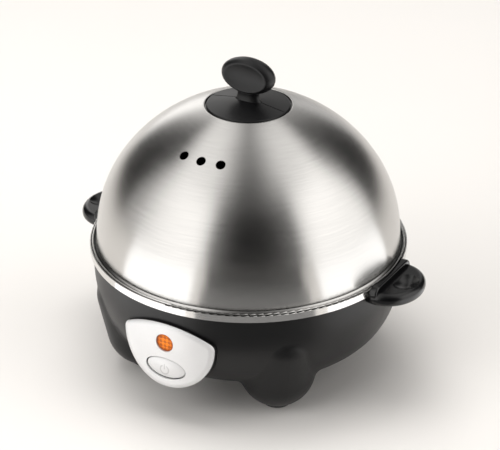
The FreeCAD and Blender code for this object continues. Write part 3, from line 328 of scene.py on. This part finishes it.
def panel_lacquer(name):
    """Silver front with a soft bevel along its outline; the panel's sides stay bare black."""
    n = material_nodes(name)
    x, y, z = n.axes()
    tone, flake = silver_tone(n)
    below = n.math("MINIMUM", n.math("SUBTRACT", z, PANEL_LOW_Z + PANEL_HALF_W), 0.0)
    to_side = n.math("SUBTRACT", PANEL_HALF_W, n.length(x, below))
    from_crown = n.math("SUBTRACT", z, PANEL_TOP_Z - PANEL_CROWN_R)
    to_crown = n.math("SUBTRACT", PANEL_CROWN_R, n.length(x, from_crown))
    edge = n.add("Math", operation="SMOOTH_MIN")
    for socket, value in zip(edge.inputs, (to_side, to_crown, PANEL_SOFT_CORNER)):
        n.feed(socket, value)
    slope = n.spread(edge.outputs[0], 0.0, 1.0, 0.0, PANEL_BEVEL_W, "SMOOTHSTEP")
    depth = n.math("SUBTRACT", PANEL_FACE_R, n.length(x, y))
    bare = n.spread(depth, 0.0, 1.0, PANEL_LACQUER_DEPTH, PANEL_LACQUER_DEPTH + PANEL_LACQUER_FADE)
    return lacquered(n, n.mix(bare, tone, BARE_BLACK), slope, PANEL_BEVEL_H, flake)


def power_symbol(n, x, z):
    """1 on the lines of a generic power symbol: a ring, open at its top, and an upright stroke."""
    across = n.math("SUBTRACT", x, SYMBOL_X)
    aside = n.math("ABSOLUTE", across)
    up = n.math("SUBTRACT", z, BUTTON_Z + SYMBOL_RISE)
    off_ring = n.math("ABSOLUTE", n.math("SUBTRACT", n.length(across, up), SYMBOL_R))
    on_ring = n.math("LESS_THAN", off_ring, SYMBOL_LINE / 2)
    gap = n.math("MULTIPLY", n.math("LESS_THAN", aside, SYMBOL_GAP), n.math("GREATER_THAN", up, 0.0))
    ring = n.math("MULTIPLY", on_ring, n.math("SUBTRACT", 1.0, gap))
    low_end, high_end = SYMBOL_STROKE
    span = n.math("MULTIPLY", n.math("GREATER_THAN", up, low_end), n.math("LESS_THAN", up, high_end))
    stroke = n.math("MULTIPLY", n.math("LESS_THAN", aside, SYMBOL_LINE / 2), span)
    return n.math("MAXIMUM", ring, stroke)


def button_lacquer(name):
    """Silver button with a rounded face and a printed power symbol."""
    n = material_nodes(name)
    x, _, z = n.axes()
    tone, flake = silver_tone(n)
    u = n.math("DIVIDE", x, BUTTON_HALF_W)
    v = n.math("DIVIDE", n.math("SUBTRACT", z, BUTTON_Z), BUTTON_HALF_H)
    crown = n.math("SUBTRACT", 1.0, n.math("POWER", n.length(u, v), 2.0))
    symbol = n.math("MULTIPLY", power_symbol(n, x, z), SYMBOL_STRENGTH)
    return lacquered(n, n.mix(symbol, tone, SYMBOL_GREY), crown, BUTTON_CROWN_H, flake)


def amber_plastic(name):
    """Amber lens: small pyramids behind a clear face, with painted highlights on the middles of the facets
    and a painted shade darkening it towards the rim; the same colour glows as the indicator lamp.
    """
    n = material_nodes(name)
    x, _, z = n.axes()
    cloud = n.noise(n.position(), 900.0, 3.0, 0.6)
    cells = [n.math("PINGPONG", value, LENS_FACET / 2) for value in (x, z)]
    facet = n.math("DIVIDE", n.math("ADD", *cells), LENS_FACET)
    middle = n.length(x, n.math("SUBTRACT", z, LENS_Z))
    # painted shade: the colour darkens from the middle out to the rim of the recess
    rim_shade = n.spread(middle, 1.0, 0.25, *LENS_RIM_SHADE)
    # painted highlight: the middles of the facets are painted brighter; the cloud is the amber's own
    # uneven tone
    lit = n.math("ADD", n.spread(facet, 0.35, 0.95, 0.4, 0.6), n.spread(cloud, 0.0, 0.2))
    color = n.mix(n.math("MULTIPLY", rim_shade, lit), (0.16, 0.014, 0.0005), (0.95, 0.24, 0.006))
    n.shade("Base Color", color)
    n.shade("Emission Color", color)
    n.shade("Roughness", n.spread(cloud, 0.10, 0.2))
    n.shade("Normal", n.bump(facet, LENS_FACET_DEPTH, 0.7))
    return n.finish(
        IOR=1.5, Specular_IOR_Level=0.25, Coat_Weight=0.05, Coat_Roughness=0.05, Emission_Strength=0.2
    )


def glass(name):
    n = material_nodes(name)
    smear = n.noise(n.position(), 300.0, 3.0, 0.6)
    n.shade("Roughness", n.spread(smear, 0.02, 0.09))
    n.shade("Base Color", n.mix(smear, (0.86, 0.86, 0.84), (0.97, 0.97, 0.97)))
    return n.finish(IOR=1.47, Transmission_Weight=0.9)


SOOT = (0.004, 0.004, 0.0045)
MATERIALS = {
    "black_plastic": moulded("black_plastic", SOOT, 0.36, wear=0.1, specular=0.38),
    "black_gloss_plastic": moulded(
        "black_gloss_plastic", SOOT, 0.16, grain=1.1 * MM, depth=0.004 * MM,
        coat=0.1, wear=0.05, specular=0.45,
    ),
    "black_rubber": rubber("black_rubber", (0.020, 0.020, 0.020)),
    "pad_rubber": rubber("pad_rubber", (0.055, 0.055, 0.055)),
    "silicone": rubber("silicone", (0.40, 0.40, 0.385)),
    "polished_steel": brushed_steel("polished_steel", 0.17, color=(0.74, 0.73, 0.715)),
    "brushed_steel": brushed_steel("brushed_steel", 0.24),
    "satin_steel": brushed_steel("satin_steel", 0.26, color=(0.64, 0.63, 0.615)),
    "zinc_steel": plated("zinc_steel", (0.55, 0.56, 0.57), 0.34),
    "element_sheath": plated("element_sheath", (0.22, 0.20, 0.18), 0.5),
    "phenolic": moulded("phenolic", (0.045, 0.028, 0.022), 0.5),
    "ceramic_white": moulded("ceramic_white", (0.74, 0.73, 0.69), 0.3, grain=0.8 * MM, depth=0.01 * MM),
    "white_plastic": moulded("white_plastic", (0.68, 0.68, 0.65), 0.4),
    "tray_plastic": moulded("tray_plastic", (0.024, 0.024, 0.025), 0.36),
    "silver_plastic": panel_lacquer("silver_plastic"),
    "silver_button": button_lacquer("silver_button"),
    "amber_lens": amber_plastic("amber_lens"),
    "clear_glass": glass("clear_glass"),
}

# Nodes that don't take the material of their slot.
OWN_MATERIALS = {"power_button": "silver_button"}


def dress_frame():
    """Give every carried-over node the detailed material of its slot."""
    for part in frame["record"]["subparts"]:
        name = part["node"]
        node = NODES[name]
        node.data.materials.clear()
        node.data.materials.append(MATERIALS[OWN_MATERIALS.get(name, part["material_slot"])])


# ---------------------------------------------------------------- mesh helpers
def mesh_object(name, points, faces, material):
    mesh = bpy.data.meshes.new(name)
    mesh.from_pydata([tuple(p) for p in points], [], faces)
    mesh.materials.append(material)
    mesh.shade_smooth()
    piece = bpy.data.objects.new(name, mesh)
    bpy.context.scene.collection.objects.link(piece)
    return piece


def placed(piece, body, slot, *nodes):
    """The piece rides on a body in place of these nodes; the slot is not used."""
    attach(piece, body)
    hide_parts(*nodes)


def arc(centre, radius, start, end, count):
    """Points (r, z) on an arc, angles in degrees."""
    angles = np.radians(np.linspace(start, end, count))
    return [(centre[0] + radius * math.cos(a), centre[1] + radius * math.sin(a)) for a in angles]


def lathe(name, outline, segments, material):
    """A closed outline of (r, z) points, turned about Z."""
    turns = np.linspace(0, 2 * math.pi, segments, endpoint=False)
    points = [(r * math.cos(a), r * math.sin(a), z) for r, z in outline for a in turns]
    rings = len(outline)
    faces = []
    for ring in range(rings):
        here = ring * segments
        after = (ring + 1) % rings * segments
        for i in range(segments):
            j = (i + 1) % segments
            faces.append((here + i, here + j, after + j, after + i))
    return mesh_object(name, points, faces, material)


def cut(piece, tools):
    """Cut the tools out of the piece, and delete them."""
    for tool in tools:
        modifier = piece.modifiers.new("cut", "BOOLEAN")
        modifier.operation = "DIFFERENCE"
        modifier.solver = "EXACT"
        modifier.object = tool
    bpy.context.view_layer.update()
    evaluated = piece.evaluated_get(bpy.context.evaluated_depsgraph_get())
    mesh = bpy.data.meshes.new_from_object(evaluated)
    piece.modifiers.clear()
    piece.data = mesh
    for tool in tools:
        bpy.data.objects.remove(tool)


# ---------------------------------------------------------------- lid
def dome_radius(h):
    """Outer radius of the dome at a height over the seam."""
    return LID_R * (1 - (max(h, 0.0) / DOME_H) ** DOME_P) ** (1 / DOME_Q)


def dome_normal(h):
    """Outward normal (r, z) of the dome's outline at a height over the seam."""
    step = DOME_H * 1e-4
    slope = (dome_radius(h + step) - dome_radius(max(h - step, 0.0))) / (step + min(step, max(h, 0.0)))
    length = math.hypot(1, slope)
    return 1 / length, -slope / length


def dome_line(inset, top_h, count):
    """Points of the dome's outline, moved inwards, from the seam up to a height."""
    heights = top_h * np.sin(np.linspace(0, math.pi / 2, count))
    line = []
    for h in heights:
        nr, nz = dome_normal(h)
        line.append((dome_radius(h) - inset * nr, SEAM_Z + h - inset * nz))
    return line


def dome_height(radius):
    """Height over the seam where the dome has this radius."""
    return DOME_H * (1 - (radius / LID_R) ** DOME_Q) ** (1 / DOME_P)


SEAT_RIM_H = dome_height(SEAT_EDGE_R + SEAT_STEP)


def dome_outline():
    """The lid's section: hem, skin, step down to the knob's seat, screw hole, and back inside."""
    outer = dome_line(0.0, SEAT_RIM_H, OUTER_STEPS)
    inner = dome_line(LID_T, SEAT_RIM_H, INNER_STEPS)
    lip_z = outer[-1][1]
    round_centre = (SEAT_EDGE_R + SEAT_ROUND, lip_z - SEAT_SINK)
    outline = [(HEM_R - LID_T, HEM_Z), (HEM_R, HEM_Z), (HEM_R, HEM_TOP_Z)]
    outline += [point for point in outer if point[0] > round_centre[0]]
    outline += arc(round_centre, SEAT_ROUND, 60, 180, 7)
    outline += [(SEAT_EDGE_R, CROWN_Z + SEAT_FOOT), (SEAT_EDGE_R - SEAT_FOOT, CROWN_Z)]
    outline += [(SCREW_HOLE_R, CROWN_Z), (SCREW_HOLE_R, CROWN_Z - LID_T)]
    outline += [(SEAT_EDGE_R - LID_T / 4, CROWN_Z - LID_T)]
    outline += reversed(inner)
    outline += [(HEM_R - LID_T, HEM_TOP_Z)]
    return outline


def turned(r, z, angle):
    return Vector((r * math.cos(angle), r * math.sin(angle), z))


def vent_tool(degrees):
    """A round bar through the dome's skin, square to it."""
    angle = math.radians(degrees)
    form = bmesh.new()
    bmesh.ops.create_cone(
        form, cap_ends=True, segments=VENT_SEGMENTS, radius1=VENT_R, radius2=VENT_R, depth=VENT_TOOL_LENGTH
    )
    mesh = bpy.data.meshes.new("vent_tool")
    form.to_mesh(mesh)
    form.free()
    tool = bpy.data.objects.new("vent_tool", mesh)
    bpy.context.scene.collection.objects.link(tool)
    tool.rotation_mode = "QUATERNION"
    tool.rotation_quaternion = Vector((0, 0, 1)).rotation_difference(turned(*dome_normal(VENT_H), angle))
    tool.location = turned(dome_radius(VENT_H), SEAM_Z + VENT_H, angle)
    return tool


def skin_normal(place, flat):
    """Normal of the turned surface at a place, or the face's own where the face lies across it."""
    r = math.hypot(place.x, place.y)
    nr, nz = dome_normal(place.z - SEAM_Z)
    true = Vector((nr * place.x / r, nr * place.y / r, nz))
    agreement = flat.dot(true)
    if abs(agreement) <= FACE_AGREES:
        return flat
    return true if agreement > 0 else -true


def dome_shading(piece):
    """True normals of the turned surface, so that the vents leave no trace in the reflections."""
    mesh = piece.data
    mesh.shade_smooth()
    lowest = SEAM_Z + SHADE_MARGIN
    highest = SEAM_Z + SEAT_RIM_H - SHADE_MARGIN
    normals = [tuple(corner.vector) for corner in mesh.corner_normals]
    for polygon in mesh.polygons:
        for corner, index in zip(polygon.loop_indices, polygon.vertices):
            place = mesh.vertices[index].co
            if lowest < place.z < highest and math.hypot(place.x, place.y) > SEAT_EDGE_R:
                normals[corner] = tuple(skin_normal(place, polygon.normal))
    mesh.normals_split_custom_set(normals)


def lid_shell():
    dome = lathe("dome_shell", dome_outline(), DOME_SEGMENTS, MATERIALS["brushed_steel"])
    cut(dome, [vent_tool(degrees) for degrees in VENT_DEGREES])
    dome.data.set_sharp_from_angle(angle=SHARP_ANGLE)
    dome_shading(dome)
    placed(dome, "lid", "brushed_steel", "lid_dome")


# ---------------------------------------------------------------- stage, light and camera
CAMERA_YAW = 30.0                # degrees, about the object from its front
CAMERA_PITCH = 28.15
CAMERA_AT = (0.4809, -0.8329, 0.5913)
CAMERA_LENS = 144.0
CAMERA_SENSOR = 36.0
CAMERA_SHIFT = 0.003
CAMERA_CLIP = 0.01
LIGHT_AIM = (0, 0, 0.09)
FLOOR_HALF = 6.0
CARD_Z = 0.5 * MM
CARD_STEPS = 24
CARD_START = 0.12                # distances from the object's middle
CARD_NEAR_END = 0.36
CARD_SIDE_START = 0.16
CARD_END = 2.2


def around(azimuth, distance, height):
    """A place round the object; azimuth in degrees from the camera's side, to its right."""
    angle = math.radians(CAMERA_YAW - 90.0 + azimuth)
    return (distance * math.cos(angle), distance * math.sin(angle), height)


# Brightness of the studio round the object, by azimuth from the camera's side, to its right.
# Near the horizon: a dark gap in front, a tall soft box on each side, a dark gap, a pale wall behind.
STUDIO_LOW = (
    (-180, 0.30), (-172, 1.50), (-160, 1.80), (-153, 0.40), (-146, 0.00), (-119, 0.00), (-109, 0.40),
    (-94, 0.80), (-76, 1.45), (-50, 1.60), (-36, 1.55), (-28, 0.02), (0, 0.01), (38, 0.01), (47, 1.40),
    (58, 1.60), (98, 1.55), (110, 0.75), (118, 0.00), (149, 0.00), (156, 0.40), (164, 0.80), (172, 0.50),
    (180, 0.30),
)
# Higher up the gaps close.
STUDIO_HIGH = (
    (-180, 0.10), (-172, 0.80), (-160, 1.60), (-153, 0.80), (-146, 0.01), (-116, 0.01), (-106, 0.60),
    (-86, 1.50), (-48, 1.75), (-37, 1.40), (-26, 0.01), (0, 0.00), (38, 0.01), (48, 1.20), (62, 1.80),
    (102, 1.70), (114, 0.05), (148, 0.01), (156, 0.80), (168, 0.40), (180, 0.10),
)
# Overhead the two sides reach further back.
STUDIO_ROOF = (
    (-180, 0.35), (-150, 1.25), (-64, 1.15), (-42, 0.80), (-20, 0.20), (0, 0.12), (20, 0.18), (42, 0.50),
    (66, 1.00), (150, 1.20), (180, 0.35),
)
STUDIO_TOP = 0.36
STUDIO_CLOSES = (18.0, 42.0)     # elevations between which the low pattern turns into the high one
STUDIO_BENDS = (42.0, 60.0)      # and the high one into the roof's
STUDIO_FADES = (68.0, 88.0)      # and the roof's into one plain level
STUDIO_WARMTH = (1.0, 0.985, 0.965)
STUDIO_GAIN = 2.0                # the ramps hold the brightness over this


def grey(level):
    return (level, level, level)


def studio_ramp(n, azimuth, stops):
    """Brightness by azimuth, over the gain, since a ramp's colors end at 1."""
    ramp = n.add("ValToRGB")
    n.feed(ramp.inputs[0], n.spread(azimuth, 0.0, 1.0, -180.0, 180.0))
    elements = ramp.color_ramp.elements
    ramp.color_ramp.interpolation = "B_SPLINE"
    for index, (degrees, level) in enumerate(stops):
        place = (degrees + 180.0) / 360.0
        if index in (0, len(stops) - 1):
            element = elements[0 if index == 0 else -1]
            element.position = place
        else:
            element = elements.new(place)
        element.color = (*grey(level / STUDIO_GAIN), 1.0)
    return ramp.outputs["Color"]


def world_light():
    world = bpy.data.worlds.new("studio")
    bpy.context.scene.world = world
    n = Nodes(world)
    direction = n.add("TexCoord").outputs["Generated"]

    def along(axis):
        node = n.add("VectorMath", operation="DOT_PRODUCT")
        n.feed(node.inputs[0], direction)
        node.inputs[1].default_value = axis
        return node.outputs["Value"]

    front = Vector(around(0, 1, 0))
    right = Vector(around(90, 1, 0))
    azimuth = n.math("DEGREES", n.math("ARCTAN2", along(right), along(front)))
    elevation = n.math("DEGREES", n.math("ARCSINE", along((0, 0, 1))))

    def blend(first, second, elevations):
        return n.mix(n.spread(elevation, 0.0, 1.0, *elevations, "SMOOTHSTEP"), first, second)

    low_wall, high_wall, roof = [
        studio_ramp(n, azimuth, stops) for stops in (STUDIO_LOW, STUDIO_HIGH, STUDIO_ROOF)
    ]
    walls = blend(low_wall, high_wall, STUDIO_CLOSES)
    level = blend(blend(walls, roof, STUDIO_BENDS), grey(STUDIO_TOP / STUDIO_GAIN), STUDIO_FADES)
    background = n.tree.nodes["Background"]
    n.feed(background.inputs["Color"], n.mix(1.0, level, STUDIO_WARMTH, "MULTIPLY"))
    background.inputs["Strength"].default_value = STUDIO_GAIN


def floor_material():
    """Matt and pale, so that the cards under the object don't show on it."""
    n = material_nodes("floor")
    slow = n.noise(n.position(), 3.0, 3.0)
    n.shade("Base Color", n.mix(slow, (0.80, 0.78, 0.755), (0.84, 0.82, 0.80)))
    return n.finish(Roughness=0.9, Specular_IOR_Level=0.0)


def floor():
    form = bmesh.new()
    bmesh.ops.create_grid(form, x_segments=2, y_segments=2, size=FLOOR_HALF)
    mesh = bpy.data.meshes.new("floor")
    form.to_mesh(mesh)
    form.free()
    mesh.materials.append(floor_material())
    piece = bpy.data.objects.new("floor", mesh)
    bpy.context.scene.collection.objects.link(piece)


def card_material(name, level, glow=0.0):
    n = material_nodes(name)
    n.shade("Roughness", n.spread(n.noise(n.position(), 20.0), 0.8, 0.95))
    n.shade("Base Color", grey(level))
    n.shade("Emission Color", grey(level))
    return n.finish(Emission_Strength=glow, Specular_IOR_Level=0.0)


def floor_card(name, span, reach, material):
    """A fan on the floor, between two azimuths and two distances, that only reflections see."""
    turns = np.linspace(*span, CARD_STEPS)
    rows = [[around(azimuth, distance, CARD_Z) for azimuth in turns] for distance in reach]
    faces = [(i, i + 1, len(turns) + i + 1, len(turns) + i) for i in range(len(turns) - 1)]
    card = mesh_object(name, rows[0] + rows[1], faces, material)
    card.visible_camera = False
    card.visible_diffuse = False
    card.visible_shadow = False
    card.visible_transmission = False


def floor_cards():
    """What the steel sees of the floor: dark in front, bright on both sides."""
    black = card_material("black_card", 0.02)
    middle_grey = card_material("grey_card", 0.24)
    white = card_material("white_card", 0.8, 1.1)
    floor_card("card_near", (-30.0, 38.0), (CARD_START, CARD_NEAR_END), middle_grey)
    floor_card("card_front", (-28.0, 36.0), (CARD_NEAR_END, CARD_END), black)
    floor_card("card_left", (-88.0, -36.0), (CARD_SIDE_START, CARD_END), white)
    floor_card("card_right", (46.0, 105.0), (CARD_SIDE_START, CARD_END), white)


def area_light(name, at, side, power, color):
    """A square lamp that points at the object and isn't reflected in it."""
    data = bpy.data.lights.new(name, "AREA")
    data.shape = "RECTANGLE"
    data.size = data.size_y = side
    data.energy = power
    data.color = color
    light = bpy.data.objects.new(name, data)
    bpy.context.scene.collection.objects.link(light)
    light.location = at
    light.rotation_euler = (Vector(LIGHT_AIM) - Vector(at)).to_track_quat("-Z", "Z").to_euler()
    light.visible_glossy = False


def camera():
    data = bpy.data.cameras.new("camera")
    data.lens = CAMERA_LENS
    data.sensor_width = CAMERA_SENSOR
    data.shift_x = CAMERA_SHIFT
    data.clip_start = CAMERA_CLIP
    piece = bpy.data.objects.new("camera", data)
    scene = bpy.context.scene
    scene.collection.objects.link(piece)
    piece.location = CAMERA_AT
    piece.rotation_euler = (math.radians(90 - CAMERA_PITCH), 0, math.radians(CAMERA_YAW))
    scene.camera = piece


def studio():
    floor()
    floor_cards()
    world_light()
    area_light("overhead", at=(-0.22, 0.12, 1.25), side=0.9, power=9.0, color=STUDIO_WARMTH)
    area_light("front_fill", at=around(-50, 0.9, 0.6), side=0.6, power=2.2, color=(1.0, 0.99, 0.98))
    view = bpy.context.scene.view_settings
    view.view_transform = "Standard"
    view.look = "None"
    camera()


# ---------------------------------------------------------------- all together
dress_frame()
lid_shell()
studio()
